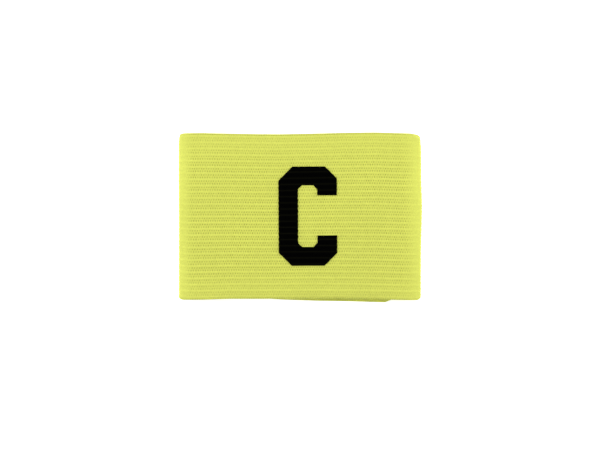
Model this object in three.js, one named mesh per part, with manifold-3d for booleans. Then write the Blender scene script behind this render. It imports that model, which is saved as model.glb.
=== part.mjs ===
import * as THREE from 'three';
import { mergeVertices } from 'three/addons/utils/BufferGeometryUtils.js';
import Module from 'manifold-3d';

// Captain armband: one strip of ribbed elastic, its ends lapped into a loop that lies
// pressed flat, with a thin block letter on the front. Lengths are millimetres.
// The back rests on z = 0, +Y points to the armband's top edge and +Z away from the back.

// The loop
const flatWidth = 129.9;      // from fold to fold, lying flat
const bandHeight = 89;        // from edge to edge, along the arm
const wall = 1.4;             // thickness of the elastic
const clearHeight = 4.3;      // room left in the hollow over the lapped ends
const leftFoldRun = 8;        // how far in the front keeps rising from the left fold
const rightFoldRun = 9.5;     // the same from the right fold
const restingFoldRun = 5;     // how far in the back leaves the surface at each fold
const frontSag = 0.3;         // how far the front settles towards its middle

// The knit
const ribCount = 27;          // wide ribs from the top edge to the bottom edge
const ribRelief = 0.25;       // depth of the grooves between them
const ribCrest = 0.4;         // width of a flat crest, as a share of the rib spacing
const ribTopMargin = 0.45;    // first crest from the top edge, as a share of the spacing
const ribBottomMargin = 0.46; // last crest from the bottom edge, as a share of the spacing
const selvedge = 0.65;        // thickness of the knit at its two edges

// The lap at the back
const lapFromFold = 15;       // where the outer end stops, short of the right fold
const lapLength = 14;         // overlap of the strip's two ends
const layerGap = 0.1;         // space between the two layers
const lapRamp = 4.5;          // length in which the inner end comes down beside the lap
const endCorner = 4;          // rounding of the strip's corners at its two ends

// The letter
const letterStroke = 10.4;    // width of the upright
const letterTipWidth = 10.7;  // width of the two tips
const letterBar = 10.1;       // height of the top and bottom bars
const counterWidth = 10.2;    // the bare field inside the letter
const counterHeight = 33;
const upperTipReach = 5.4;    // how far the upper tip reaches past its bar
const lowerTipReach = 6.1;    // the same for the lower tip
const letterChamfer = 6.9;    // cut of the outer corners
const counterChamfer = 2.1;   // cut of the inner corners
const letterOffset = 4.15;    // from the armband's middle, to the right
const letterRise = 0.24;      // the same, towards the top edge
const filmThickness = 0.3;
const filmGap = 0.1;          // space between the film and the elastic

// How far an edge pulls in or stands out, and a fold bows
const edgeDrift = 2.5;
const foldBow = 0.8;

// The edges of each layer, from the left fold to the right fold. across is a share of half
// the width, top and bottom are shares of edgeDrift, up being positive.
const frontEdges = [
  { across: -1.00, top: -0.32, bottom: 0.20 },
  { across: -0.96, top: 0.00, bottom: -0.04 },
  { across: -0.80, top: 0.06, bottom: -0.12 },
  { across: -0.57, top: -0.04, bottom: -0.04 },
  { across: -0.36, top: -0.14, bottom: 0.08 },
  { across: -0.16, top: -0.18, bottom: 0.16 },
  { across: 0.10, top: -0.06, bottom: 0.17 },
  { across: 0.36, top: 0.12, bottom: 0.12 },
  { across: 0.62, top: 0.19, bottom: 0.02 },
  { across: 0.80, top: 0.06, bottom: -0.12 },
  { across: 0.92, top: -0.06, bottom: -0.20 },
  { across: 0.97, top: -0.44, bottom: -0.14 },
  { across: 1.00, top: -1.00, bottom: 0.28 },
];
const backEdges = [
  { across: -1.00, top: -0.32, bottom: 0.20 },
  { across: -0.92, top: 0.00, bottom: 0.04 },
  { across: -0.24, top: -0.18, bottom: 0.14 },
  { across: 0.10, top: -0.40, bottom: -0.25 },
  { across: 0.40, top: -0.56, bottom: -0.45 },
  { across: 0.66, top: -0.68, bottom: -0.58 },
  { across: 1.00, top: -0.68, bottom: -0.58 },
];
const innerEndEdges = [
  { across: -1.00, top: -0.20, bottom: 0.10 },
  { across: 0.92, top: -0.20, bottom: 0.10 },
  { across: 1.00, top: -1.00, bottom: 0.28 },
];

// How the folds bow along the arm. down is a share of the height from the top edge,
// left and right are shares of foldBow, out being positive.
const foldRows = [
  { down: 0.00, left: 0.20, right: -0.55 },
  { down: 0.27, left: 0.20, right: -0.05 },
  { down: 0.50, left: 0.10, right: 0.60 },
  { down: 0.72, left: -0.15, right: -0.15 },
  { down: 1.00, left: -0.20, right: -0.27 },
];
const bowStart = 0.8;         // share of half the width at which a layer starts to bow

// Fineness of the meshes
const foldSteps = 5;          // steps in each quarter of a fold
const frontSteps = 10;
const backSteps = 7;
const rampSteps = 4;
const innerRows = 4;
const weldDistance = 1e-4;

const fluorescentElastic = new THREE.MeshStandardMaterial({
  color: '#d4da62',
  roughness: 0.85,
  metalness: 0,
});
const blackFilm = new THREE.MeshStandardMaterial({
  color: '#080806',
  roughness: 0.55,
  metalness: 0,
});

// From 0 to 1, starting and ending level
const ease = (share) => (1 - Math.cos(Math.PI * THREE.MathUtils.clamp(share, 0, 1))) / 2;

// A column of a table, eased from one row to the next. The key column is in rising order.
function readTable(table, key, place, column) {
  const last = table[table.length - 1];
  const next = table.findIndex((row) => row[key] >= place);
  if (next === 0) return table[0][column];
  if (next < 0) return last[column];
  const from = table[next - 1];
  const to = table[next];
  const share = ease((place - from[key]) / (to[key] - from[key]));
  return THREE.MathUtils.lerp(from[column], to[column], share);
}

// The loop's section, seen along the arm

const halfWidth = flatWidth / 2;
const foldHeight = clearHeight + 3 * wall + layerGap;
const foldMiddle = foldHeight / 2;
const lapEnd = halfWidth - lapFromFold;

// A fold is an ellipse that turns no tighter than its own wall.
const longestRun = foldMiddle ** 2 / (wall + ribRelief);

// One place on the strip: its outer face at (x, z), and the direction into the wall.
// (dx, dz) is the way of travel, with the hollow on its left.
function station(edges, x, z, dx, dz) {
  const length = Math.hypot(dx, dz);
  return { edges, x, z, inX: -dz / length, inZ: dx / length };
}

// A quarter of a fold, from a flat layer to the fold's outermost line. side is -1 for the
// left fold and 1 for the right, layer is -1 for the back and 1 for the front.
function foldQuarter(edges, side, layer, wantedRun) {
  const run = Math.min(wantedRun, longestRun);
  const stations = [];
  for (let step = 0; step <= foldSteps; step += 1) {
    const angle = (Math.PI / 2) * (step / foldSteps);
    const x = side * (halfWidth - run + run * Math.sin(angle));
    const z = foldMiddle + layer * foldMiddle * Math.cos(angle);
    const dx = side * run * Math.cos(angle);
    const dz = -layer * foldMiddle * Math.sin(angle);
    stations.push(station(edges, x, z, dx, dz));
  }
  return stations;
}

// The same places travelled the other way
function reversed(stations) {
  return stations.map((place) => ({ ...place, inX: -place.inX, inZ: -place.inZ })).reverse();
}

function frontLayer() {
  const left = Math.min(leftFoldRun, longestRun) - halfWidth;
  const right = halfWidth - Math.min(rightFoldRun, longestRun);
  const stations = [];
  for (let step = 1; step < frontSteps; step += 1) {
    const share = step / frontSteps;
    const x = THREE.MathUtils.lerp(right, left, share);
    const z = foldHeight - frontSag * Math.sin(Math.PI * share) ** 2;
    const slope = -frontSag * Math.PI * Math.sin(2 * Math.PI * share);
    stations.push(station(frontEdges, x, z, left - right, slope));
  }
  return stations;
}

function backLayer() {
  const left = restingFoldRun - halfWidth;
  const stations = [];
  for (let step = 1; step <= backSteps; step += 1) {
    const x = THREE.MathUtils.lerp(left, lapEnd, step / backSteps);
    stations.push(station(backEdges, x, 0, 1, 0));
  }
  return stations;
}

// The inner end lies on the outer one, then comes down to the surface beside it.
function innerEnd() {
  const lift = wall + layerGap;
  const stations = [station(innerEndEdges, lapEnd - lapLength, lift, 1, 0)];
  for (let step = 0; step <= rampSteps; step += 1) {
    const share = step / rampSteps;
    const x = lapEnd + share * lapRamp;
    const z = lift * (1 - ease(share));
    const slope = (-lift * Math.PI * Math.sin(Math.PI * share)) / 2;
    stations.push(station(innerEndEdges, x, z, lapRamp, slope));
  }
  return stations;
}

const stripStations = [
  ...innerEnd(),
  ...foldQuarter(innerEndEdges, 1, -1, restingFoldRun),
  ...reversed(foldQuarter(frontEdges, 1, 1, rightFoldRun)).slice(1),
  ...frontLayer(),
  ...foldQuarter(frontEdges, -1, 1, leftFoldRun),
  ...reversed(foldQuarter(backEdges, -1, -1, restingFoldRun)).slice(1),
  ...backLayer(),
];

// The knit's rows. down is a share of the height from the top edge, and depth is measured
// into the wall from the ribs' crests.

const ribSpacing = 1 / (ribCount - 1 + ribTopMargin + ribBottomMargin);
const edgeTaper = wall - selvedge;

function ribbedRows() {
  const edgeDepth = (2 / 3) * edgeTaper;
  const rows = [{ down: 0, depth: edgeDepth }];
  for (let rib = 0; rib < ribCount; rib += 1) {
    const crest = ribTopMargin + rib;
    if (rib > 0) rows.push({ down: (crest - 0.5) * ribSpacing, depth: ribRelief });
    rows.push({ down: (crest - ribCrest / 2) * ribSpacing, depth: 0 });
    rows.push({ down: (crest + ribCrest / 2) * ribSpacing, depth: 0 });
  }
  rows.push({ down: 1, depth: edgeDepth });
  return rows;
}

function smoothRows() {
  const edgeDepth = wall - edgeTaper / 3;
  const corner = endCorner / bandHeight;
  const rows = [{ down: 0, depth: edgeDepth }, { down: corner / 4, depth: wall }];
  for (let row = 0; row <= innerRows; row += 1) {
    rows.push({ down: THREE.MathUtils.lerp(corner, 1 - corner, row / innerRows), depth: wall });
  }
  rows.push({ down: 1 - corner / 4, depth: wall }, { down: 1, depth: edgeDepth });
  return rows;
}

// A point of the strip, from a place round the loop and a row of the knit
function stripPoint(place, { down, depth }) {
  const across = place.x / halfWidth;
  const top = bandHeight / 2 + edgeDrift * readTable(place.edges, 'across', across, 'top');
  const bottom = edgeDrift * readTable(place.edges, 'across', across, 'bottom') - bandHeight / 2;
  const bowed = ease((Math.abs(across) - bowStart) / (1 - bowStart));
  const bow = foldBow * bowed * readTable(foldRows, 'down', down, across < 0 ? 'left' : 'right');
  return new THREE.Vector3(
    place.x + place.inX * depth + Math.sign(across) * bow,
    THREE.MathUtils.lerp(top, bottom, down),
    place.z + place.inZ * depth,
  );
}

// A closed skin over rings of points, each with one point for every row of the section
function loft(rings, section) {
  const sides = section.length;
  const indices = [];
  for (let ring = 0; ring < rings.length - 1; ring += 1) {
    for (let side = 0; side < sides; side += 1) {
      const here = ring * sides + side;
      const beside = ring * sides + ((side + 1) % sides);
      indices.push(here, here + sides, beside, beside, here + sides, beside + sides);
    }
  }
  const lastRing = (rings.length - 1) * sides;
  const outline = section.map((row) => new THREE.Vector2(row.down * bandHeight, row.depth));
  for (const [a, b, c] of THREE.ShapeUtils.triangulateShape(outline, [])) {
    indices.push(a, b, c);
    indices.push(lastRing + a, lastRing + c, lastRing + b);
  }
  const geometry = new THREE.BufferGeometry();
  geometry.setFromPoints(rings.flat());
  geometry.setIndex(indices);
  return geometry;
}

// How far the strip's end is drawn back along the strip, to round its corners
function endPull(down) {
  const fromEdge = Math.min(down, 1 - down) * bandHeight;
  if (fromEdge >= endCorner) return 0;
  return endCorner - Math.sqrt(endCorner ** 2 - (endCorner - fromEdge) ** 2);
}

function bandGeometry() {
  const section = [...ribbedRows(), ...smoothRows().reverse()];
  const rings = stripStations.map((place) => section.map((row) => stripPoint(place, row)));
  section.forEach((row, side) => {
    rings[0][side].x += endPull(row.down);
    rings[rings.length - 1][side].x -= endPull(row.down);
  });
  return loft(rings, section);
}

// The letter: a skin over the front's ribs, cut to the letter's outline

const letterWidth = letterStroke + counterWidth + letterTipWidth;
const letterHeight = 2 * letterBar + counterHeight;

function letterOutline() {
  const right = letterWidth / 2;
  const top = letterHeight / 2;
  const counterLeft = letterStroke - right;
  const counterRight = right - letterTipWidth;
  const counterTop = counterHeight / 2;
  const upperTip = counterTop - upperTipReach;
  const lowerTip = counterTop - lowerTipReach;
  const outside = (tip) => [
    [right, tip],
    [right, top - letterChamfer],
    [right - letterChamfer, top],
    [letterChamfer - right, top],
    [-right, top - letterChamfer],
  ];
  const inside = (tip) => [
    [counterLeft, counterTop - counterChamfer],
    [counterLeft + counterChamfer, counterTop],
    [counterRight - counterChamfer, counterTop],
    [counterRight, counterTop - counterChamfer],
    [counterRight, tip],
  ];
  const mirrored = (corners) => corners.map(([x, y]) => [x, -y]).reverse();
  const corners = [
    ...outside(upperTip),
    ...mirrored(outside(lowerTip)),
    ...mirrored(inside(lowerTip)),
    ...inside(upperTip),
  ];
  return new THREE.Shape(corners.map(([x, y]) => new THREE.Vector2(x, y)));
}

// The film follows the ribs under it, on the same places and rows as the strip.
function letterSkin() {
  const reachAcross = letterWidth / 2 + flatWidth / frontSteps;
  const reachDown = letterHeight / (2 * bandHeight) + 2 * ribSpacing;
  const places = frontLayer().filter((place) => Math.abs(place.x - letterOffset) < reachAcross);
  const rows = ribbedRows().filter((row) => Math.abs(row.down - 0.5) < reachDown);
  const raised = (height) => rows.map(({ down, depth }) => ({ down, depth: depth - height }));
  const section = [...raised(filmGap + filmThickness), ...raised(filmGap).reverse()];
  const rings = places.map((place) => section.map((row) => stripPoint(place, row)));
  return loft(rings, section);
}

const wasm = await Module();
wasm.setup();

function toSolid(geometry) {
  const bare = geometry.clone();
  bare.deleteAttribute('normal');
  bare.deleteAttribute('uv');
  const merged = mergeVertices(bare, weldDistance);
  return new wasm.Manifold(new wasm.Mesh({
    numProp: 3,
    vertProperties: new Float32Array(merged.attributes.position.array),
    triVerts: new Uint32Array(merged.index.array),
  }));
}

function toGeometry(solid) {
  const mesh = solid.getMesh();
  const geometry = new THREE.BufferGeometry();
  geometry.setAttribute('position', new THREE.BufferAttribute(mesh.vertProperties, 3));
  geometry.setIndex(new THREE.BufferAttribute(mesh.triVerts, 1));
  return geometry;
}

function letterGeometry() {
  const block = new THREE.ExtrudeGeometry(letterOutline(), {
    depth: 2 * foldHeight,
    bevelEnabled: false,
  });
  block.translate(letterOffset, letterRise, 0);
  return toGeometry(toSolid(letterSkin()).intersect(toSolid(block)));
}

function piece(name, geometry, material) {
  geometry.computeVertexNormals();
  const mesh = new THREE.Mesh(geometry, material);
  mesh.name = name;
  return mesh;
}

const band = piece('band', bandGeometry(), fluorescentElastic);
const letter = piece('letter_c', letterGeometry(), blackFilm);

// The folds and edges wander, so the armband is centred by its own outline.
band.geometry.computeBoundingBox();
const middle = band.geometry.boundingBox.getCenter(new THREE.Vector3());
const armband = new THREE.Group();
armband.add(band, letter);
armband.position.set(-middle.x, -middle.y, 0);

export default armband;
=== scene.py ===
import bmesh
import bpy
import numpy as np
from mathutils import Matrix, Vector


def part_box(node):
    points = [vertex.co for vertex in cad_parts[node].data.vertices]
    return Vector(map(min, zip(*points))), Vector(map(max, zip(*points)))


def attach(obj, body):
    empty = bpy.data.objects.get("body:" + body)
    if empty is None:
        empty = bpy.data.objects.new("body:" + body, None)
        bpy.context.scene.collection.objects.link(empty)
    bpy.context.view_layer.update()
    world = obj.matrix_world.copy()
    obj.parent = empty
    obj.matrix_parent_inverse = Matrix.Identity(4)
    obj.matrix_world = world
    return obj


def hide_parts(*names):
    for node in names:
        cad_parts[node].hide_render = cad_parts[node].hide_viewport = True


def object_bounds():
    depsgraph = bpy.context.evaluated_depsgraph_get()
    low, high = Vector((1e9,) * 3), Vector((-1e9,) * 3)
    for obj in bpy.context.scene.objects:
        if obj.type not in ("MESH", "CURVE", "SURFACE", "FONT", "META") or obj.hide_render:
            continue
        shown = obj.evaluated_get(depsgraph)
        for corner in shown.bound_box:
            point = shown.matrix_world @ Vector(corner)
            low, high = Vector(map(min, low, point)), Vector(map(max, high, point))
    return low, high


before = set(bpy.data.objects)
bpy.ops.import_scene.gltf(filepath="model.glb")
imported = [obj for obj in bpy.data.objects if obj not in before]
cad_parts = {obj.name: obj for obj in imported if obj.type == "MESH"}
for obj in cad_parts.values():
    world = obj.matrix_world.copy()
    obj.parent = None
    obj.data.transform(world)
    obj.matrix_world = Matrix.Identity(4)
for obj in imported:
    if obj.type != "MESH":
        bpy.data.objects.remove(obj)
packedLow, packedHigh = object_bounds()
mm = 0.001
dice = np.random.default_rng(27)


# sRGB hex to linear, opaque
def linearColour(code):
    shares = [int(code[i:i + 2], 16) / 255 for i in (1, 3, 5)]
    return [c / 12.92 if c <= 0.04045 else ((c + 0.055) / 1.055) ** 2.4 for c in shares] + [1.0]


# Adds a node, sets its properties, then links or sets its inputs by name or number
def addNode(tree, kind, inputs=None, **settings):
    node = tree.nodes.new(kind)
    for name, value in settings.items():
        setattr(node, name, value)
    for socket, value in (inputs or {}).items():
        if isinstance(value, bpy.types.NodeSocket):
            tree.links.new(value, node.inputs[socket])
        else:
            node.inputs[socket].default_value = value
    return node


def newMaterial(name):
    material = bpy.data.materials.new(name)
    material.use_nodes = True
    material.node_tree.nodes.clear()
    return material, material.node_tree


def addObject(name, data):
    piece = bpy.data.objects.new(name, data)
    bpy.context.collection.objects.link(piece)
    return piece


# From 0 to 1 with a soft start and end
def ease(share):
    return (1 - np.cos(np.pi * np.clip(share, 0, 1))) / 2


# Evens out a row of values, with its spacing and the reach in millimetres
def softened(values, spacing, reach):
    steps = int(3 * reach / spacing)
    kernel = np.exp(-0.5 * (np.arange(-steps, steps + 1) * spacing / reach) ** 2)
    padded = np.pad(values, steps, mode="edge")
    return np.convolve(padded, kernel / kernel.sum(), mode="valid")


# Camera, straight above the armband as in the photograph

shot = dict(
    frameWidth=321.4,       # mm across the picture at the front's height
    lens=150,               # mm, as is the sensor
    sensor=36,
    middleX=-0.2,           # mm, what lies in the middle of the picture
    middleY=-4.0,
)


def makeCamera():
    height = shot["frameWidth"] * shot["lens"] / shot["sensor"]
    lens = bpy.data.cameras.new("camera")
    lens.lens = shot["lens"]
    lens.sensor_width = shot["sensor"]
    camera = addObject("camera", lens)
    camera.location = (shot["middleX"] * mm, shot["middleY"] * mm, height * mm + packedHigh.z)
    bpy.context.scene.camera = camera
    print("camera: straight above,", round(height), "mm from the front")


# The strip of elastic, in millimetres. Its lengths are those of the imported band, apart from a wider
# bend into the right fold.

band = dict(
    flatWidth=129.9, height=89.0, wall=1.4, clearHeight=4.3, layerGap=0.1,
    leftFoldRun=8.0, rightFoldRun=12.0, restingFoldRun=5.0, frontSag=0.3,
    lapFromFold=15.0, lapLength=14.0, lapRamp=4.5, endCorner=4.0,
    edgeDrift=2.5,          # the largest wander of an edge
    edgeSoftness=0.7,       # mm along the strip
    turnSoftness=0.3,       # the same for the way the strip faces
    foldBow=0.8,            # the largest bow of a fold
    bowStart=0.8,           # share of the half width past which the strip bows
    undulation=0.07,
    slantLength=3.8, slantHeight=1.7,       # cut of the outer end's lower corner
)

# The knit: wide and narrow ribs in turn, with a row of gaps between courses in each groove.
# Places across the ribs are in rib spacings from a wide rib's crest, depths in millimetres.
knit = dict(
    ribs=27,
    topMargin=0.47,
    bottomMargin=0.44,
    stitch=1.26,            # one course along the strip
    upperGroove=0.30,
    lowerGroove=0.71,
    upperDepth=0.17,
    lowerDepth=0.27,
    narrowDepth=0.05,
    wideSteepness=2.4,      # powers by which the ribs fall from their crests
    narrowSteepness=1.8,
    gapDepth=0.20,          # how much deeper the knit is at a gap between two courses
    weakestDip=0.55,        # the shallowest of these dips, as a share of the deepest
    courseDrift=0.15,       # mm, how far the courses wander sideways
    ribLuck=0.5,            # how far single ribs add to that, as a share of it
    straightEnds=6.0,       # mm from each end over which the courses run straight
    yarnWander=0.01,        # mm, the yarn's own unevenness
    bendFade=(0.00, 0.38),  # sideways tilt over which the gaps close towards a fold
    edgeOpening=0.50,       # how far the gaps beside the two edges open, as a share of the others
    calmRibs=6.0,           # ribs from an edge over which they open fully
    insideOpening=0.2,      # the same for the inner face, which is plainer
)

# Wander of the edges, as shares of edgeDrift, from the left fold to the right
frontEdges = dict(
    across=[-1.0, -0.98, -0.96, -0.80, -0.57, -0.36, -0.16, 0.10, 0.36, 0.62, 0.80, 0.92, 0.98, 1.0],
    top=[-0.15, 0.00, 0.06, 0.08, -0.05, -0.14, -0.18, -0.05, 0.12, 0.20, 0.07, 0.00, -0.26, -0.75],
    bottom=[0.12, -0.10, -0.12, -0.09, 0.09, 0.08, 0.11, 0.13, 0.08, -0.03, -0.14, -0.22, -0.22, 0.22],
)
backEdges = dict(
    across=[-1.0, -0.92, -0.26, -0.20, -0.08, 0.16, 0.40, 0.66, 1.0],
    top=[-0.90, 0.00, -0.18, -0.21, -0.30, -0.44, -0.56, -0.68, -0.68],
    bottom=[0.40, 0.01, 0.09, -0.07, -0.21, -0.40, -0.50, -0.70, -0.70],
)
innerEndEdges = dict(
    across=[-1.0, 0.92, 1.0],
    top=[-0.20, -0.20, -1.0],
    bottom=[0.10, 0.10, 0.60],
)
# How far the front's lower edge curls down, in millimetres, from the left fold to the right
lowerCurl = dict(
    width=3.0,              # how far from the edge the curl begins
    steepness=1.3,
    across=[-0.90, -0.50, -0.30, 0.00, 0.40, 0.60, 0.80, 0.95],
    depth=[0.40, 0.50, 0.80, 0.80, 1.10, 0.95, 0.45, 0.30],
)
# Bow of the folds from the top edge to the bottom edge, as shares of foldBow
foldRows = dict(
    down=[0.00, 0.03, 0.07, 0.27, 0.42, 0.50, 0.62, 0.72, 1.00],
    left=[-0.35, 0.25, 0.35, 0.40, 0.30, 0.27, 0.25, 0.27, 0.27],
    right=[-0.30, -0.02, 0.35, 0.45, 1.00, 0.90, 0.50, 0.25, 0.15],
)

ribTotal = knit["ribs"] - 1 + knit["topMargin"] + knit["bottomMargin"]
halfWidth = band["flatWidth"] / 2
foldHeight = band["clearHeight"] + 3 * band["wall"] + band["layerGap"]
lapEnd = halfWidth - band["lapFromFold"]


# One quarter of a fold, from a flat layer to the outermost line
def foldQuarter(side, layer, run, points=200):
    angle = np.linspace(0, np.pi / 2, points)
    x = side * (halfWidth - run + run * np.sin(angle))
    z = foldHeight / 2 * (1 + layer * np.cos(angle))
    return x, z


# Height of the front, which sags a little between the folds
def frontHeight(x):
    start = halfWidth - band["rightFoldRun"]
    end = band["leftFoldRun"] - halfWidth
    return foldHeight - band["frontSag"] * np.sin(np.pi * np.clip((start - x) / (start - end), 0, 1)) ** 2


# The way of the strip's outer face round the loop, from its inner end to its outer end
def stripPath():
    spacing = 0.05          # mm, between two points of the way
    fine = 1500             # points of a straight stretch, before they are spaced evenly
    endX = np.linspace(lapEnd - band["lapLength"], halfWidth - band["restingFoldRun"], fine)
    endZ = (band["wall"] + band["layerGap"]) * (1 - ease((endX - lapEnd) / band["lapRamp"]))
    frontX = np.linspace(halfWidth - band["rightFoldRun"], band["leftFoldRun"] - halfWidth, fine)
    backX = np.linspace(band["restingFoldRun"] - halfWidth, lapEnd, fine)
    lowerRight = foldQuarter(1, -1, band["restingFoldRun"])
    upperRight = foldQuarter(1, 1, band["rightFoldRun"])
    upperLeft = foldQuarter(-1, 1, band["leftFoldRun"])
    lowerLeft = foldQuarter(-1, -1, band["restingFoldRun"])
    legs = [
        (endX, endZ, innerEndEdges),
        (*lowerRight, innerEndEdges),
        (upperRight[0][::-1], upperRight[1][::-1], frontEdges),
        (frontX, frontHeight(frontX), frontEdges),
        (*upperLeft, frontEdges),
        (lowerLeft[0][::-1], lowerLeft[1][::-1], backEdges),
        (backX, np.zeros_like(backX), backEdges),
    ]
    x, z, top, bottom = [], [], [], []
    for legX, legZ, edges in legs:
        x.append(legX)
        z.append(legZ)
        top.append(np.interp(legX / halfWidth, edges["across"], edges["top"]))
        bottom.append(np.interp(legX / halfWidth, edges["across"], edges["bottom"]))
    x, z, top, bottom = (np.concatenate(part) for part in (x, z, top, bottom))
    way = np.concatenate([[0], np.cumsum(np.hypot(np.diff(x), np.diff(z)))])
    along = np.arange(0, way[-1], spacing)
    path = dict(along=along, x=np.interp(along, way, x), z=np.interp(along, way, z))
    path["top"] = softened(np.interp(along, way, top), spacing, band["edgeSoftness"])
    path["bottom"] = softened(np.interp(along, way, bottom), spacing, band["edgeSoftness"])
    dx = softened(np.gradient(path["x"]), spacing, band["turnSoftness"])
    dz = softened(np.gradient(path["z"]), spacing, band["turnSoftness"])
    path["inX"] = -dz / np.hypot(dx, dz)
    path["inZ"] = dx / np.hypot(dx, dz)
    return path


# Depth of the knit under the wide ribs' crests
def ribDepth(ribs):
    upper, lower = knit["upperGroove"], knit["lowerGroove"]
    past = (ribs - knit["topMargin"]) % 1
    fromAbove = knit["upperDepth"] * (past / upper) ** knit["wideSteepness"]
    fromBelow = knit["lowerDepth"] * ((1 - past) / (1 - lower)) ** knit["wideSteepness"]
    fromNarrow = (past - (upper + lower) / 2) / ((lower - upper) / 2)
    beside = np.where(fromNarrow > 0, knit["lowerDepth"], knit["upperDepth"])
    fall = np.abs(fromNarrow) ** knit["narrowSteepness"]
    narrow = knit["narrowDepth"] + (beside - knit["narrowDepth"]) * fall
    return np.where(past < upper, fromAbove, np.where(past > lower, fromBelow, narrow))


# Rows of the outer face: place across the ribs, place in the pattern of gaps, depth, and how
# much a gap deepens it. The top selvedge is a cord with a groove of its own under it.
def outerRows():
    top, total = knit["topMargin"], ribTotal
    groove = top + knit["lowerGroove"] - 1
    rows = [(0.008, groove - 0.24, 0.45, 0.0), (0.045, groove - 0.20, 0.12, 0.0),
            (0.11, groove - 0.11, 0.05, 0.1), (0.20, groove, 0.24, 0.9), (0.30, groove + 0.15, 0.04, 0.1)]
    offsets = [0.0, 0.17, knit["upperGroove"], 0.50, knit["lowerGroove"], 0.86]
    gapShares = [0.05, 0.10, 0.8, 0.15, 1.0, 0.10]
    for rib in range(knit["ribs"]):
        for offset, share in zip(offsets, gapShares):
            place = top + rib + offset
            if place < total - 0.1:
                rows.append((place, place, float(ribDepth(place)), share))
    rows += [(total - 0.07, total - 0.07, 0.10, 0.1), (total - 0.008, total - 0.008, 0.42, 0.0)]
    return np.array(rows)


# Rows of the inner face. Its lower edge is well rounded, and catches the light from the table.
def innerRows():
    wall, total = band["wall"], ribTotal
    rows = [(0.02, 0.02, wall - 0.30, 0.0)]
    for rib in range(knit["ribs"]):
        place = knit["topMargin"] + rib
        rows.append((place, place, wall, 0.0))
        if place + 0.5 < total:
            rows.append((place + 0.5, place + 0.5, wall - 0.16, 0.3))
    rows += [(total - 0.20, total - 0.20, wall - 0.32, 0.0), (total - 0.02, total - 0.02, wall - 0.80, 0.0)]
    return np.array(rows)[::-1]


# The seam: two rows of zigzag stitches through both layers of the lap
seam = dict(
    fromEnd=2.5,            # mm, from the cut end of the strip to the middle of a row
    width=2.2,              # mm, how wide the zigzag swings
    stitch=1.5,             # mm along the seam from one needle hole to the next
    thread=0.32,
    threadProud=0.4,        # of the thread's width, how far its middle stands out of the knit
    pinch=0.36,             # how deep the thread pulls the knit in
    holeDepth=0.3,
    fromEdge=1.4,           # where the seam stops, short of the strip's edges
    steps=6,                # points of the thread from one needle hole to the next
    darkThread="#bfc650",
    lightThread="#dbe06e",
)


def seamPlaces():
    return seam["fromEnd"], band["lapLength"] - seam["fromEnd"]


# How far the front dips in its slow waves, about 5 and 8 cm long
def undulate(x, y):
    wave = np.sin(0.11 * x + 0.05 * y + 0.8) * np.sin(0.07 * y - 0.03 * x + 1.9)
    return band["undulation"] * (wave - 1) / 2


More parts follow.
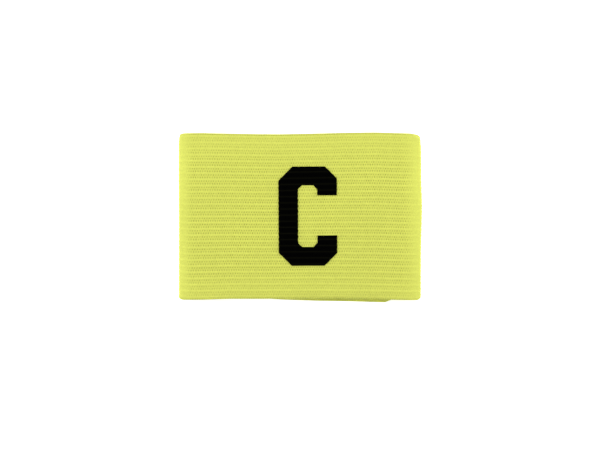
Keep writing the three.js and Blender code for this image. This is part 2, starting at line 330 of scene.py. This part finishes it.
def makeBand():
    path = stripPath()
    length = path["along"][-1]
    columns = int(round(2 * length / knit["stitch"])) + 1
    outer, inner = outerRows(), innerRows()
    rows = np.vstack([outer, inner])
    rowCount = len(rows)
    isOuter = np.arange(rowCount) < len(outer)
    ribs, pattern, depths, gapShares = rows.T
    down = ribs / ribTotal
    flat = np.linspace(0, length, columns)

    # courses wander a little, in waves of 38 and 23 mm, and don't line up from rib to rib
    wander = np.sin(flat[:, None] / 6.1 + 0.35 * ribs) + 0.7 * np.sin(flat[:, None] / 3.7 - 0.21 * ribs)
    ribLines = np.arange(knit["ribs"] + 2)
    ribShift = np.interp(ribs, ribLines, dice.normal(0, knit["ribLuck"], len(ribLines)))
    fromEnd = np.minimum(flat, length - flat)
    endShare = np.clip(fromEnd / knit["straightEnds"], 0, 1)
    along = flat[:, None] + knit["courseDrift"] * endShare[:, None] * (wander + ribShift)
    at = {name: np.interp(along, path["along"], values) for name, values in path.items()}

    top = band["height"] / 2 + band["edgeDrift"] * at["top"]
    bottom = band["edgeDrift"] * at["bottom"] - band["height"] / 2
    y = top + (bottom - top) * down

    # no two gaps between courses are quite alike; they close at the folds, and open less beside the
    # edges and on the inner face
    start, end = knit["bendFade"]
    openShare = 1 - ease((np.abs(at["inX"]) - start) / (end - start))
    fromEdges = ease(np.minimum(ribs, ribTotal - ribs) / knit["calmRibs"])
    openShare = openShare * (knit["edgeOpening"] + (1 - knit["edgeOpening"]) * fromEdges)
    openShare = openShare * np.where(isOuter, 1.0, knit["insideOpening"])
    isUpperRow = (pattern - knit["topMargin"]) % 1 < 0.5
    atGap = np.arange(columns)[:, None] % 2 == isUpperRow
    strength = dice.uniform(knit["weakestDip"], 1.0, (columns, rowCount))
    depth = depths + knit["gapDepth"] * gapShares * strength * atGap * openShare
    depth = depth + np.abs(dice.normal(0, knit["yarnWander"], depth.shape)) * isOuter

    # the sewing thread pulls the knit in, on both faces of the lap
    pull = sum(np.exp(-((fromEnd - place) / seam["width"]) ** 2) for place in seamPlaces())
    isOuterEnd = flat > length / 2
    sewn = np.where(isOuterEnd[:, None], isOuter[None, :] * 1.0, isOuter[None, :] - 1.0)
    depth = depth + seam["pinch"] * pull[:, None] * sewn

    # the front's lower edge curls down
    across = at["x"] / halfWidth
    aboveLower = (1 - down) * band["height"]
    facingUp = np.clip(-at["inZ"], 0, 1)
    curl = np.interp(across, lowerCurl["across"], lowerCurl["depth"]) * facingUp
    nearEdge = np.clip(1 - aboveLower / lowerCurl["width"], 0, 1)
    depth = depth + curl * nearEdge ** lowerCurl["steepness"]

    # the two ends' corners are rounded, and the outer end's lower one is cut on the slant
    corner = band["endCorner"]
    fromEdge = np.minimum(down, 1 - down) * band["height"]
    rounding = corner - np.sqrt(corner ** 2 - np.clip(corner - fromEdge, 0, corner) ** 2)
    atEnds = np.clip(1 - flat / (2 * corner), 0, 1) - np.clip(1 - (length - flat) / (2 * corner), 0, 1)
    slant = band["slantLength"] * np.clip(1 - aboveLower / band["slantHeight"], 0, 1)
    rounding = np.where(isOuterEnd[:, None] & (down > 0.5)[None, :], slant, rounding)
    ends = atEnds[:, None] * rounding

    # the folds bow and the front undulates a little
    bowShare = ease((np.abs(across) - band["bowStart"]) / (1 - band["bowStart"]))
    bowLeft = np.interp(down, foldRows["down"], foldRows["left"])
    bowRight = np.interp(down, foldRows["down"], foldRows["right"])
    bow = band["foldBow"] * bowShare * np.where(across < 0, -bowLeft, bowRight)
    upper = np.clip((at["z"] / foldHeight - 0.5) * 2, 0, 1) ** 2

    x = at["x"] + at["inX"] * depth + bow + ends
    z = at["z"] + at["inZ"] * depth + upper * undulate(x, y)
    verts = np.stack([x, y, z], axis=-1).reshape(-1, 3)
    low, high = verts.min(0), verts.max(0)
    cadLow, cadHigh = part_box("band")
    centre = np.array([cadLow.x + cadHigh.x, cadLow.y + cadHigh.y, 0]) / 2 / mm
    shift = centre - (low + high) / 2 * (1, 1, 0)

    faces = []
    for column in range(columns - 1):
        here = column * rowCount
        for row in range(rowCount):
            beside = (row + 1) % rowCount
            faces.append((here + row, here + rowCount + row, here + rowCount + beside, here + beside))
    faces.append(tuple(range(rowCount)))
    faces.append(tuple(range(columns * rowCount - 1, (columns - 1) * rowCount - 1, -1)))
    mesh = bpy.data.meshes.new("ribbed_band")
    mesh.from_pydata(((verts + shift) * mm).tolist(), [], faces)
    loops = np.empty(len(mesh.loops), dtype=np.int32)
    mesh.loops.foreach_get("vertex_index", loops)
    courses = np.repeat(flat / knit["stitch"], rowCount)
    uv = np.stack([courses[loops], np.tile(pattern, columns)[loops]], axis=-1)
    mesh.uv_layers.new(name="knit").data.foreach_set("uv", uv.ravel())

    # the strip unrolled into one square, its two end faces as slivers at the sides
    margin, sliver = 0.01, 0.008
    atEdge = np.diff(isOuter * 1, append=1) != 0
    girth = np.abs(np.diff(down, append=down[0])) * band["height"] + band["wall"] * atEdge
    around = np.concatenate([[0], np.cumsum(girth)]) / girth.sum()
    sides = len(loops) - 2 * rowCount
    u = margin + (1 - 2 * margin) * (loops // rowCount) / (columns - 1)
    v = around[loops % rowCount]
    closing = np.repeat(np.tile(np.arange(rowCount) == rowCount - 1, columns - 1), 4)
    v[:sides][closing & (v[:sides] == 0)] = 1           # the last faces end at the square's far side
    capDepth = depths[loops[sides:] % rowCount] / band["wall"]
    capDepth[:rowCount] = 1 - capDepth[:rowCount]       # the two end faces look opposite ways
    u[sides:] = np.repeat([0, 1 - sliver], rowCount) + sliver * capDepth
    v[sides:] = down[loops[sides:] % rowCount]
    mesh.uv_layers.new(name="OFBake").data.foreach_set("uv", np.stack([u, v], axis=-1).ravel())
    opening = mesh.attributes.new("gapsOpen", "FLOAT", "POINT")
    opening.data.foreach_set("value", openShare.ravel().astype(np.float32))
    inside = mesh.attributes.new("insideFace", "FLOAT", "POINT")
    inside.data.foreach_set("value", np.tile(~isOuter, columns).astype(np.float32))
    mesh.polygons.foreach_set("use_smooth", [True] * (len(faces) - 2) + [False] * 2)
    mesh.update()
    print("band:", columns, "by", rowCount, "points,", round(length), "mm of strip")
    return addObject("ribbed_band", mesh), length, shift


# Fluorescent knitted elastic: polyester yarn over covered rubber, matt, with a faint bloom at
# grazing angles. The gaps between its courses are painted dark olive: painted shade in them.
elastic = dict(
    yarn="#ced35f",
    shadedYarn="#bcc14e",   # sides of the strands
    # painted shade: the colour of the gaps and grooves
    gap="#74761f",
    bloom="#f2f59a",
    gapWidth=0.24,          # of a course, half of a gap's width
    # a row's height is half a gap's, in rib spacings, its slant is in courses a rib spacing, and its
    # shadow is painted shadow between the gaps, as a share of their colour
    upperGaps=dict(height=0.15, strength=0.84, shadow=0.02, slant=-0.45, stagger=0.0),
    lowerGaps=dict(height=0.19, strength=0.77, shadow=0.06, slant=0.0, stagger=0.5),
    gapFade=(0.2, 1.3),     # where a gap's colour starts to fade and where it ends, its edge being 1
    weakestGap=0.6,         # as a share of the strongest
    shadowReach=1.2,        # of a gap's half height
    selvedgePaintedShade=0.58,     # of the gaps' colour, painted shade in the groove under the top selvedge
    selvedgeReach=0.15,     # in rib spacings
    insidePaintedLight=1.28,       # painted light: factor of the inner face's colour, standing in for light through the yarn
    strands=2,              # in a course
    strandLean=0.7,         # courses that a strand leans from one crest to the next
    strandShade=0.45,       # of the shaded yarn's colour, between two strands
    crestReach=0.26,        # in rib spacings
    crestPaintedLight=(1.02, 0.99),        # painted light: factor of the colour on a wide rib's crest, and off it
    patch=25.0,             # mm, slow changes of shade and of the gaps' strength
    patchShade=(1.02, 0.98),
    patchTension=(1.06, 0.82),
    tuft=2 / 3,             # mm, uneven yarn, drawn coarse enough to show
    tuftShade=(0.94, 1.06),
    fibre=1 / 9,            # mm, one fibre
    noiseSpan=(0.3, 0.7),   # where most of a noise's values lie
)


def elasticMaterial():
    e = elastic
    material, tree = newMaterial("fluorescent_knitted_elastic")
    uv = addNode(tree, "ShaderNodeUVMap", uv_map="knit")
    place = addNode(tree, "ShaderNodeSeparateXYZ", {0: uv.outputs["UV"]})
    fromCrest = addNode(tree, "ShaderNodeMath", {0: place.outputs["Y"], 1: knit["topMargin"]},
                        operation="SUBTRACT")
    past = addNode(tree, "ShaderNodeMath", {0: fromCrest.outputs[0]}, operation="FRACT")
    ribNumber = addNode(tree, "ShaderNodeMath", {0: fromCrest.outputs[0]}, operation="FLOOR")
    body = addNode(tree, "ShaderNodeTexCoord")
    openShare = addNode(tree, "ShaderNodeAttribute", attribute_name="gapsOpen")
    insideFace = addNode(tree, "ShaderNodeAttribute", attribute_name="insideFace")

    # painted shade in the gaps between courses, in two rows a rib
    masks = []
    for middle, row in ((knit["upperGroove"], e["upperGaps"]), (knit["lowerGroove"], e["lowerGaps"])):
        rise = addNode(tree, "ShaderNodeMath", {0: past.outputs[0], 1: middle}, operation="SUBTRACT")
        lean = addNode(tree, "ShaderNodeMath", {0: rise.outputs[0], 1: row["slant"], 2: place.outputs["X"]},
                       operation="MULTIPLY_ADD")
        course = addNode(tree, "ShaderNodeMath", {0: lean.outputs[0], 1: row["stagger"]}, operation="ADD")
        number = addNode(tree, "ShaderNodeMath", {0: course.outputs[0]}, operation="FLOOR")
        within = addNode(tree, "ShaderNodeMath", {0: course.outputs[0]}, operation="FRACT")
        side = addNode(tree, "ShaderNodeMath", {0: within.outputs[0], 1: 0.5}, operation="SUBTRACT")
        sideShare = addNode(tree, "ShaderNodeMath", {0: side.outputs[0], 1: e["gapWidth"]},
                            operation="DIVIDE")
        riseShare = addNode(tree, "ShaderNodeMath", {0: rise.outputs[0], 1: row["height"]},
                            operation="DIVIDE")
        spot = addNode(tree, "ShaderNodeCombineXYZ", {0: sideShare.outputs[0], 1: riseShare.outputs[0]})
        reach = addNode(tree, "ShaderNodeVectorMath", {0: spot.outputs[0]}, operation="LENGTH")
        mask = addNode(tree, "ShaderNodeMapRange",
                       {"Value": reach.outputs["Value"], "From Min": e["gapFade"][0],
                        "From Max": e["gapFade"][1], "To Min": 1.0, "To Max": 0.0},
                       interpolation_type="SMOOTHSTEP")
        cell = addNode(tree, "ShaderNodeCombineXYZ",
                       {0: number.outputs[0], 1: ribNumber.outputs[0], 2: middle})
        luck = addNode(tree, "ShaderNodeTexWhiteNoise", {"Vector": cell.outputs[0]})
        share = addNode(tree, "ShaderNodeMapRange",
                        {"Value": luck.outputs["Value"], "To Min": e["weakestGap"] * row["strength"],
                         "To Max": row["strength"]})
        fromMiddle = addNode(tree, "ShaderNodeMath", {0: riseShare.outputs[0]}, operation="ABSOLUTE")
        streak = addNode(tree, "ShaderNodeMapRange",
                         {"Value": fromMiddle.outputs[0], "From Max": e["shadowReach"],
                          "To Min": row["shadow"], "To Max": 0.0}, interpolation_type="SMOOTHSTEP")
        masks.append(addNode(tree, "ShaderNodeMath", {0: mask.outputs[0], 1: share.outputs[0],
                                                      2: streak.outputs[0]}, operation="MULTIPLY_ADD"))
    gaps = addNode(tree, "ShaderNodeMath", {0: masks[0].outputs[0], 1: masks[1].outputs[0]},
                   operation="ADD")
    patches = addNode(tree, "ShaderNodeTexNoise",
                      {"Vector": body.outputs["Object"], "Scale": 1 / (e["patch"] * mm), "Detail": 3.0})
    tension = addNode(tree, "ShaderNodeMapRange",
                      {"Value": patches.outputs["Fac"], "From Min": e["noiseSpan"][0],
                       "From Max": e["noiseSpan"][1], "To Min": e["patchTension"][0],
                       "To Max": e["patchTension"][1]})
    gaps = addNode(tree, "ShaderNodeMath", {0: gaps.outputs[0], 1: tension.outputs[0]},
                   operation="MULTIPLY")
    # painted shade in the groove under the top selvedge
    selvedgeGroove = knit["topMargin"] + knit["lowerGroove"] - 1
    fromSelvedge = addNode(tree, "ShaderNodeMath", {0: place.outputs["Y"], 1: selvedgeGroove},
                           operation="SUBTRACT")
    fromSelvedge = addNode(tree, "ShaderNodeMath", {0: fromSelvedge.outputs[0]}, operation="ABSOLUTE")
    selvedge = addNode(tree, "ShaderNodeMapRange",
                       {"Value": fromSelvedge.outputs[0], "From Max": e["selvedgeReach"],
                        "To Min": e["selvedgePaintedShade"], "To Max": 0.0}, interpolation_type="SMOOTHSTEP")
    gaps = addNode(tree, "ShaderNodeMath", {0: gaps.outputs[0], 1: selvedge.outputs[0]}, operation="ADD")
    gaps = addNode(tree, "ShaderNodeMath", {0: gaps.outputs[0], 1: openShare.outputs["Fac"]},
                   operation="MULTIPLY", use_clamp=True)

    # strands that zigzag from crest to crest
    zigzag = addNode(tree, "ShaderNodeMath", {0: fromCrest.outputs[0], 1: 0.5}, operation="PINGPONG")
    zigzag = addNode(tree, "ShaderNodeMath", {0: zigzag.outputs[0], 1: 2 * e["strandLean"],
                                              2: place.outputs["X"]}, operation="MULTIPLY_ADD")
    zigzag = addNode(tree, "ShaderNodeMath", {0: zigzag.outputs[0], 1: float(e["strands"])},
                     operation="MULTIPLY")
    strand = addNode(tree, "ShaderNodeMath", {0: zigzag.outputs[0], 1: 0.5}, operation="PINGPONG")
    strand = addNode(tree, "ShaderNodeMapRange", {"Value": strand.outputs[0], "From Max": 0.5},
                     interpolation_type="SMOOTHERSTEP")

    # slow and fine changes of shade
    tufts = addNode(tree, "ShaderNodeTexNoise",
                    {"Vector": body.outputs["Object"], "Scale": 1 / (e["tuft"] * mm), "Detail": 1.0})
    fibres = addNode(tree, "ShaderNodeTexNoise",
                     {"Vector": body.outputs["Object"], "Scale": 1 / (e["fibre"] * mm), "Detail": 2.0})
    strandShare = addNode(tree, "ShaderNodeMapRange",
                          {"Value": strand.outputs[0], "To Min": e["strandShade"], "To Max": 0.0})
    colour = addNode(tree, "ShaderNodeMix", {0: strandShare.outputs[0], 6: linearColour(e["yarn"]),
                                             7: linearColour(e["shadedYarn"])}, data_type="RGBA")
    colour = addNode(tree, "ShaderNodeMix", {0: gaps.outputs[0], 6: colour.outputs[2],
                                             7: linearColour(e["gap"])}, data_type="RGBA")
    # painted light, lighter on the wide ribs' crests and darker off them
    fromWide = addNode(tree, "ShaderNodeMath", {0: fromCrest.outputs[0], 1: 0.5}, operation="PINGPONG")
    changes = []
    for noise, span in ((patches, e["patchShade"]), (tufts, e["tuftShade"])):
        changes.append(addNode(tree, "ShaderNodeMapRange",
                               {"Value": noise.outputs["Fac"], "From Min": e["noiseSpan"][0],
                                "From Max": e["noiseSpan"][1], "To Min": span[0], "To Max": span[1]}))
    changes.append(addNode(tree, "ShaderNodeMapRange",
                           {"Value": fromWide.outputs[0], "From Max": e["crestReach"],
                            "To Min": e["crestPaintedLight"][0], "To Max": e["crestPaintedLight"][1]},
                           interpolation_type="SMOOTHSTEP"))
    # painted light on the inner face, which brightens the shaded strip peeping out under the front
    changes.append(addNode(tree, "ShaderNodeMapRange",
                           {"Value": insideFace.outputs["Fac"], "To Min": 1.0, "To Max": e["insidePaintedLight"]}))
    shade = changes[0]
    for change in changes[1:]:
        shade = addNode(tree, "ShaderNodeMath", {0: shade.outputs[0], 1: change.outputs[0]},
                        operation="MULTIPLY")
    colour = addNode(tree, "ShaderNodeVectorMath", {0: colour.outputs[2], 1: shade.outputs[0]},
                     operation="MULTIPLY")
    strandBump = addNode(tree, "ShaderNodeBump", {"Height": strand.outputs[0], "Strength": 0.5,
                                                  "Distance": 0.08 * mm})
    bump = addNode(tree, "ShaderNodeBump", {"Height": fibres.outputs["Fac"], "Strength": 0.3,
                                            "Distance": 0.1 * mm, "Normal": strandBump.outputs[0]})
    rough = addNode(tree, "ShaderNodeMapRange",
                    {"Value": fibres.outputs["Fac"], "To Min": 0.78, "To Max": 0.92})
    shader = addNode(tree, "ShaderNodeBsdfPrincipled",
                     {"Base Color": colour.outputs[0], "Roughness": rough.outputs[0], "IOR": 1.5,
                      "Specular IOR Level": 0.2, "Sheen Weight": 0.25, "Sheen Roughness": 0.45,
                      "Sheen Tint": linearColour(e["bloom"]), "Normal": bump.outputs[0]})
    addNode(tree, "ShaderNodeOutputMaterial", {"Surface": shader.outputs[0]})
    return material


def makeSeam(shift):
    s = seam
    curve = bpy.data.curves.new("lap_stitching", "CURVE")
    curve.dimensions = "3D"
    curve.bevel_depth = s["thread"] / 2 * mm
    curve.bevel_resolution = 1
    layers = (backEdges, innerEndEdges)
    proud = s["thread"] * s["threadProud"] + s["holeDepth"]
    for place in seamPlaces():
        x = lapEnd - place
        top = min(np.interp(x / halfWidth, edges["across"], edges["top"]) for edges in layers)
        bottom = max(np.interp(x / halfWidth, edges["across"], edges["bottom"]) for edges in layers)
        high = band["height"] / 2 + band["edgeDrift"] * top - s["fromEdge"]
        low = band["edgeDrift"] * bottom - band["height"] / 2 + s["fromEdge"]
        stitches = int((high - low) / s["stitch"])
        share = np.arange(stitches * s["steps"] + 1) / s["steps"]
        swing = np.abs((share % 2) - 1) - 0.5
        rise = np.sqrt(np.abs(np.sin(np.pi * share))) * proud - s["holeDepth"]
        y = high - share * s["stitch"]
        ribs = (band["height"] / 2 - y) / band["height"] * ribTotal
        underside = s["pinch"] + 0.5 * ribDepth(ribs) - rise
        upside = 2 * band["wall"] + band["layerGap"] - s["pinch"] + rise
        for z, side in ((underside, 1), (upside, -1)):
            line = curve.splines.new("POLY")
            line.points.add(len(y) - 1)
            points = np.stack([x + side * swing * s["width"], y, z], axis=-1) + shift
            line.points.foreach_set("co", np.column_stack([points * mm, np.ones(len(y))]).ravel())
    drawn = addObject("lap_stitching_line", curve)
    mesh = bpy.data.meshes.new_from_object(drawn)
    bpy.data.objects.remove(drawn)
    mesh.name = "lap_stitching"
    mesh.shade_smooth()
    print("seam:", len(mesh.polygons), "faces in two rows")
    return addObject("lap_stitching", mesh)


# Spun polyester thread, dyed with the elastic: dull, with short twisted fibres
def threadMaterial():
    material, tree = newMaterial("spun_polyester_thread")
    body = addNode(tree, "ShaderNodeTexCoord")
    fibres = addNode(tree, "ShaderNodeTexNoise",
                     {"Vector": body.outputs["Object"], "Scale": 1 / (elastic["fibre"] * mm),
                      "Detail": 2.0})
    colour = addNode(tree, "ShaderNodeMix",
                     {0: fibres.outputs["Fac"], 6: linearColour(seam["darkThread"]),
                      7: linearColour(seam["lightThread"])}, data_type="RGBA")
    shader = addNode(tree, "ShaderNodeBsdfPrincipled",
                     {"Base Color": colour.outputs[2], "Roughness": 0.7, "IOR": 1.5,
                      "Specular IOR Level": 0.3})
    addNode(tree, "ShaderNodeOutputMaterial", {"Surface": shader.outputs[0]})
    return material


# The letter: thin film pressed on hot, so that the ribs show through it

letter = dict(
    stroke=10.4, tipWidth=10.55, bar=10.1, upperTipReach=5.4, lowerTipReach=6.1,
    chamfers=(7.5, 6.4, 6.8, 7.0),          # from the top left corner, clockwise
    counterChamfer=2.1,
    turn=0.35,              # degrees, it isn't pressed on quite straight
    thickness=0.28,
    overCrests=0.03,        # mm between the wide ribs' crests and the film
    ribShare=0.55,          # how deep the film follows the ribs
    edgeWave=0.07,          # mm, unevenness of the upright edges
    waveTurn=2.3,           # radians of this wave in a millimetre
    cell=0.6,               # mm along the strip from one row of points to the next
    rimAngle=0.9,           # radians, from which the film's rim is drawn sharp
    film="#000000",
    wornFilm="#010101",
    # painted highlight: faint lines on the ribs' upper shoulders
    filmHighlight="#090904",
    highlightPlace=0.76,         # of a rib spacing, below a wide rib's crest
    highlightReach=0.2,          # in rib spacings
    grain=0.2,              # mm, the film's grain
    wear=25 / 3,            # mm, patches of wear
)


def letterOutline():
    s = letter
    low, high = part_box("letter_c")
    left, bottom, right, top = low.x / mm, low.y / mm, high.x / mm, high.y / mm
    topLeft, topRight, lowRight, lowLeft = s["chamfers"]
    k = s["counterChamfer"]
    innerLeft, innerRight = left + s["stroke"], right - s["tipWidth"]
    innerTop, innerBottom = top - s["bar"], bottom + s["bar"]
    tipTop, tipBottom = innerTop - s["upperTipReach"], innerBottom + s["lowerTipReach"]
    corners = [
        (left + topLeft, top), (right - topRight, top), (right, top - topRight),
        (right, tipTop), (innerRight, tipTop),
        (innerRight, innerTop - k), (innerRight - k, innerTop), (innerLeft + k, innerTop),
        (innerLeft, innerTop - k), (innerLeft, innerBottom + k), (innerLeft + k, innerBottom),
        (innerRight - k, innerBottom), (innerRight, innerBottom + k), (innerRight, tipBottom),
        (right, tipBottom), (right, bottom + lowRight), (right - lowRight, bottom),
        (left + lowLeft, bottom), (left, bottom + lowLeft), (left, top - topLeft),
    ]
    middle = Vector(((left + right) / 2, (bottom + top) / 2))
    turn = Matrix.Rotation(np.radians(s["turn"]), 2)
    return [tuple(middle + turn @ (Vector(corner) - middle)) for corner in corners]


# Whether a point lies within the outline
def isInside(point, outline):
    inside = False
    for (x1, y1), (x2, y2) in zip(outline, outline[1:] + outline[:1]):
        if (y1 > point[1]) != (y2 > point[1]):
            if point[0] < x1 + (point[1] - y1) * (x2 - x1) / (y2 - y1):
                inside = not inside
    return inside


def makeLetter(shift):
    outline = letterOutline()
    xs, ys = zip(*outline)
    shiftX, shiftY = shift[:2]
    spare = 1.0             # mm of film round the outline, cut off below
    x = np.arange(min(xs) - spare, max(xs) + spare, letter["cell"])
    across = (x - shiftX) / halfWidth
    drift, half = band["edgeDrift"], band["height"] / 2
    top = half + drift * np.interp(across, frontEdges["across"], frontEdges["top"])
    bottom = drift * np.interp(across, frontEdges["across"], frontEdges["bottom"]) - half
    offsets = [0.0, 0.10, 0.20, knit["upperGroove"], 0.40, 0.495, 0.59, knit["lowerGroove"], 0.78, 0.89]
    ribs = (np.arange(knit["ribs"] - 1)[:, None] + offsets).ravel() + knit["topMargin"]
    y = top[:, None] + (bottom - top)[:, None] * ribs / ribTotal + shiftY
    keep = (y.max(0) > min(ys) - spare) & (y.min(0) < max(ys) + spare)
    y, ribs = y[:, keep], ribs[keep]
    x = np.broadcast_to(x[:, None], y.shape)
    z = frontHeight(x - shiftX) + undulate(x - shiftX, y - shiftY)
    z = z - letter["ribShare"] * ribDepth(ribs) + letter["overCrests"] + letter["thickness"]
    shape = bmesh.new()
    pattern = shape.loops.layers.uv.new("knit")
    grid = [[shape.verts.new(point) for point in zip(*line)] for line in zip(x, y, z)]
    for here, beside in zip(grid, grid[1:]):
        for j in range(len(here) - 1):
            face = shape.faces.new((here[j], here[j + 1], beside[j + 1], beside[j]))
            for loop, place in zip(face.loops, (ribs[j], ribs[j + 1], ribs[j + 1], ribs[j])):
                loop[pattern].uv = (0, place)
    for (x1, y1), (x2, y2) in zip(outline, outline[1:] + outline[:1]):
        everything = shape.verts[:] + shape.edges[:] + shape.faces[:]
        inwards = Vector((y2 - y1, x1 - x2, 0)).normalized()
        bmesh.ops.bisect_plane(shape, geom=everything, plane_co=(x1, y1, 0), plane_no=inwards, dist=1e-5)
    outside = [face for face in shape.faces if not isInside(face.calc_center_median(), outline)]
    bmesh.ops.delete(shape, geom=outside, context="FACES")
    for vert in shape.verts:
        vert.co.x += letter["edgeWave"] * np.sin(letter["waveTurn"] * vert.co.y)
        vert.co *= mm
    bmesh.ops.recalc_face_normals(shape, faces=shape.faces)
    if sum(face.normal.z for face in shape.faces) < 0:
        bmesh.ops.reverse_faces(shape, faces=shape.faces)
    mesh = bpy.data.meshes.new("pressed_letter")
    shape.to_mesh(mesh)
    shape.free()
    mesh.shade_smooth()
    piece = addObject("pressed_letter", mesh)
    film = piece.modifiers.new("film", "SOLIDIFY")
    film.thickness = letter["thickness"] * mm
    film.offset = -1
    rim = piece.modifiers.new("crisp rim", "EDGE_SPLIT")
    rim.split_angle = letter["rimAngle"]
    print("letter:", len(mesh.polygons), "faces before the film gets its thickness")
    return piece


# Heat-pressed polyurethane film: deep matt black, with a painted highlight: faint yellowish lines
# on the ribs' upper shoulders, where the light catches their slopes.
def filmMaterial():
    material, tree = newMaterial("heat_pressed_polyurethane_film")
    body = addNode(tree, "ShaderNodeTexCoord")
    grain = addNode(tree, "ShaderNodeTexNoise",
                    {"Vector": body.outputs["Object"], "Scale": 1 / (letter["grain"] * mm), "Detail": 2.0})
    worn = addNode(tree, "ShaderNodeTexNoise",
                   {"Vector": body.outputs["Object"], "Scale": 1 / (letter["wear"] * mm), "Detail": 4.0})
    colour = addNode(tree, "ShaderNodeMix", {0: worn.outputs["Fac"], 6: linearColour(letter["film"]),
                                             7: linearColour(letter["wornFilm"])}, data_type="RGBA")
    uv = addNode(tree, "ShaderNodeUVMap", uv_map="knit")
    place = addNode(tree, "ShaderNodeSeparateXYZ", {0: uv.outputs["UV"]})
    # painted highlight along the ribs' upper shoulders
    highlightLine = knit["topMargin"] + letter["highlightPlace"]
    fromLine = addNode(tree, "ShaderNodeMath", {0: place.outputs["Y"], 1: highlightLine}, operation="SUBTRACT")
    fromLine = addNode(tree, "ShaderNodeMath", {0: fromLine.outputs[0], 1: 0.5}, operation="PINGPONG")
    highlight = addNode(tree, "ShaderNodeMapRange",
                   {"Value": fromLine.outputs[0], "From Max": letter["highlightReach"], "To Min": 1.0,
                    "To Max": 0.0}, interpolation_type="SMOOTHSTEP")
    colour = addNode(tree, "ShaderNodeMix", {0: highlight.outputs[0], 6: colour.outputs[2],
                                             7: linearColour(letter["filmHighlight"])}, data_type="RGBA")
    rough = addNode(tree, "ShaderNodeMapRange",
                    {"Value": worn.outputs["Fac"], "To Min": 0.55, "To Max": 0.7})
    bump = addNode(tree, "ShaderNodeBump", {"Height": grain.outputs["Fac"], "Strength": 0.2,
                                            "Distance": 0.05 * mm})
    shader = addNode(tree, "ShaderNodeBsdfPrincipled",
                     {"Base Color": colour.outputs[2], "Roughness": rough.outputs[0], "IOR": 1.5,
                      "Specular IOR Level": 0.008, "Normal": bump.outputs[0]})
    addNode(tree, "ShaderNodeOutputMaterial", {"Surface": shader.outputs[0]})
    return material


# White paper floor, soft light from both sides and from almost overhead, in metres and watts

studio = dict(
    floorColour="#f6f6f6",
    floorWidth=6.0,
    floorBelow=0.00005,     # so that the floor and the knit don't touch
    floorGlow=0.6,
    sideDistance=0.38, sideForward=0.05, leftHeight=0.22, rightHeight=0.165, sideSize=(0.25, 0.7),
    leftPower=2.18, rightPower=2.16,
    topDistance=0.10, topHeight=0.40, topSize=(0.5, 0.5), topPower=0.79,
    roomLight=0.14,
)


def addSoftbox(name, place, size, power):
    light = bpy.data.lights.new(name, "AREA")
    light.shape = "RECTANGLE"
    light.size, light.size_y = size
    light.energy = power
    lamp = addObject(name, light)
    lamp.location = place
    lamp.rotation_euler = Vector(place).to_track_quat("Z", "Y").to_euler()
    lamp.visible_camera = False


def makeStudio():
    s = studio
    half = s["floorWidth"] / 2
    mesh = bpy.data.meshes.new("floor")
    corners = [(-half, -half, 0), (half, -half, 0), (half, half, 0), (-half, half, 0)]
    mesh.from_pydata(corners, [], [(0, 1, 2, 3)])
    floor = addObject("floor", mesh)
    floor.location.z = -s["floorBelow"]
    material, tree = newMaterial("white_paper_sweep")
    shader = addNode(tree, "ShaderNodeBsdfPrincipled",
                     {"Base Color": linearColour(s["floorColour"]), "Roughness": 0.9,
                      "Specular IOR Level": 0.1, "Emission Color": (1, 1, 1, 1),
                      "Emission Strength": s["floorGlow"]})
    addNode(tree, "ShaderNodeOutputMaterial", {"Surface": shader.outputs[0]})
    mesh.materials.append(material)
    left = (-s["sideDistance"], s["sideForward"], s["leftHeight"])
    right = (s["sideDistance"], s["sideForward"], s["rightHeight"])
    top = (0, s["topDistance"], s["topHeight"])
    addSoftbox("left softbox", left, s["sideSize"], s["leftPower"])
    addSoftbox("right softbox", right, s["sideSize"], s["rightPower"])
    addSoftbox("top softbox", top, s["topSize"], s["topPower"])
    world = bpy.data.worlds.new("room")
    world.use_nodes = True
    world.node_tree.nodes["Background"].inputs["Color"].default_value = (1, 1, 1, 1)
    world.node_tree.nodes["Background"].inputs["Strength"].default_value = s["roomLight"]
    bpy.context.scene.world = world
    bpy.context.scene.view_settings.view_transform = "Standard"
    bpy.context.scene.cycles.denoising_prefilter = "NONE"       # the gaps in the knit are a pixel wide
    print("studio: floor, three softboxes, room light")


makeCamera()
bandPiece, stripLength, bandShift = makeBand()
bandPiece.data.materials.append(elasticMaterial())
seamPiece = makeSeam(bandShift)
seamPiece.data.materials.append(threadMaterial())
letterPiece = makeLetter(bandShift)
letterPiece.data.materials.append(filmMaterial())
makeStudio()

for piece in (bandPiece, seamPiece, letterPiece):
    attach(piece, "root")
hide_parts("band")
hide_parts("letter_c")
